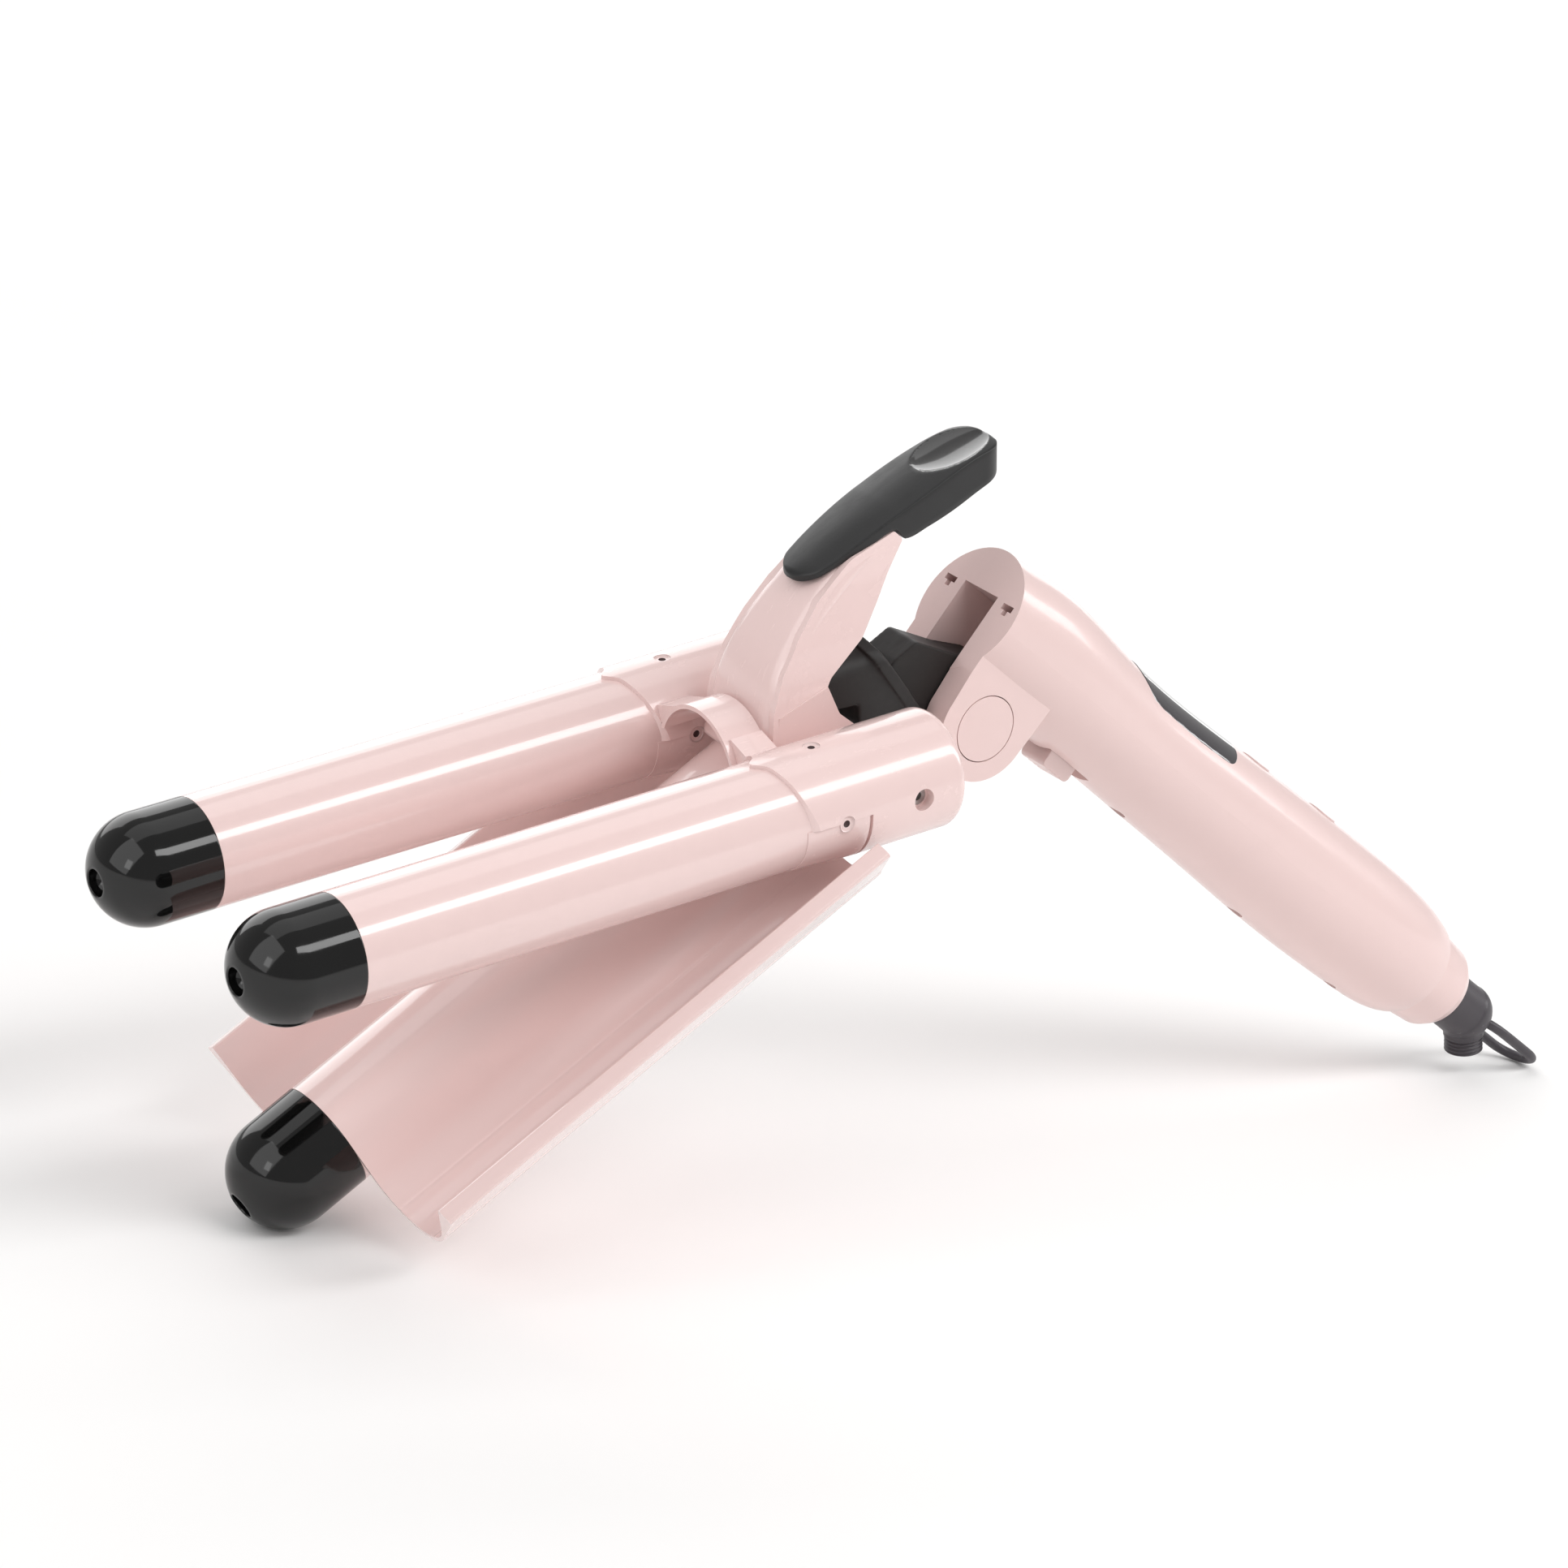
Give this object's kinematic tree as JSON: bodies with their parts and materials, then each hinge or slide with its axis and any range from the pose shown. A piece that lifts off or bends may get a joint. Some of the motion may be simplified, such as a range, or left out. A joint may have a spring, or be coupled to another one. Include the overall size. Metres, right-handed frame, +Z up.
{
  "type": "hair crimper",
  "caption": "Folding hair waver: fixed domed barrels, a sprung jaw with a middle barrel and waved plate, a thumb lever, and a folding handle with a cord swivel.",
  "frame": {"origin": "centre of the bounding box at the table the tool stands on", "axes": "+X runs from the barrel tips back to the handle, +Z is up, +Y is the tool's far side"},
  "size_m": [0.3988, 0.0954, 0.168],
  "materials": {
    "board_green": "matte",
    "boot_black": "matte",
    "bush_brass": "satin",
    "cap_black": "gloss",
    "coated_pink": "gloss",
    "heater_core": "matte",
    "housing_pink": "gloss",
    "pad_black": "satin",
    "screw_steel": "brushed",
    "sensor_glass": "clear",
    "spring_steel": "polished",
    "swivel_grey": "satin",
    "window_dark": "gloss"
  },
  "bodies": {
    "head": {"barrel_near": "coated_pink", "tip_cap_near": "cap_black", "heater_near": "heater_core", "heat_spreader_near": "heater_core", "thermistor_near": "sensor_glass", "barrel_far": "coated_pink", "tip_cap_far": "cap_black", "heater_far": "heater_core", "heat_spreader_far": "heater_core", "thermistor_far": "sensor_glass", "tip_screws": "screw_steel", "head_housing": "housing_pink", "sleeve_screws": "screw_steel", "jaw_pin": "screw_steel", "jaw_spring": "spring_steel", "hinge_tongue": "boot_black", "hinge_boot": "boot_black", "fold_pin": "screw_steel"},
    "jaw": {"barrel_jaw": "coated_pink", "tip_cap_jaw": "cap_black", "tip_screw_jaw": "screw_steel", "heater_jaw": "heater_core", "heat_spreader_jaw": "heater_core", "thermistor_jaw": "sensor_glass", "wave_plate": "coated_pink", "lever_body": "housing_pink", "lever_screws": "screw_steel", "jaw_bushings": "bush_brass", "lever_pad": "pad_black"},
    "handle": {"handle_upper_shell": "housing_pink", "handle_lower_shell": "housing_pink", "display_window": "window_dark", "display_module": "board_green", "control_board": "board_green", "button_switches": "board_green", "handle_screws": "screw_steel", "slider_spring": "spring_steel", "end_collar": "housing_pink", "cover_disc_near": "housing_pink", "cover_disc_far": "housing_pink"},
    "fold_lock": {"fold_lock_slider": "housing_pink"},
    "power_button": {"power_button": "housing_pink"},
    "mode_button": {"mode_button": "housing_pink"},
    "swivel": {"cord_swivel": "swivel_grey", "cord_collar": "swivel_grey", "hang_loop": "swivel_grey"}
  },
  "joints": [
    {"name": "jaw_hinge", "type": "hinge", "parent": "head", "child": "jaw", "pos_m": [-0.03798, 0, 0.10234], "axis": [0, 1, 0], "range_deg": [0, 22], "stiffness_Nm_per_rad": 0.8, "springref_deg": -57.3},
    {"name": "handle_fold", "type": "hinge", "parent": "head", "child": "handle", "pos_m": [0.00017, 0, 0.10532], "axis": [0, -1, 0], "range_deg": [-106, 44]},
    {"name": "fold_lock_slide", "type": "slide", "parent": "handle", "child": "fold_lock", "axis": [0.8409, 0, -0.5413], "range_m": [0, 0.004], "stiffness_N_per_m": 300, "springref_m": -0.003},
    {"name": "power_press", "type": "slide", "parent": "handle", "child": "power_button", "axis": [-0.5413, 0, -0.8409], "range_m": [0, 0.0006], "stiffness_N_per_m": 1500, "springref_m": -0.0006},
    {"name": "mode_press", "type": "slide", "parent": "handle", "child": "mode_button", "axis": [-0.5413, 0, -0.8409], "range_m": [0, 0.0006], "stiffness_N_per_m": 1500, "springref_m": -0.0006},
    {"name": "cord_swivel_turn", "type": "hinge", "parent": "handle", "child": "swivel", "pos_m": [0.17522, 0, 0.01607], "axis": [0.8409, 0, -0.5413], "continuous": true}
  ]
}
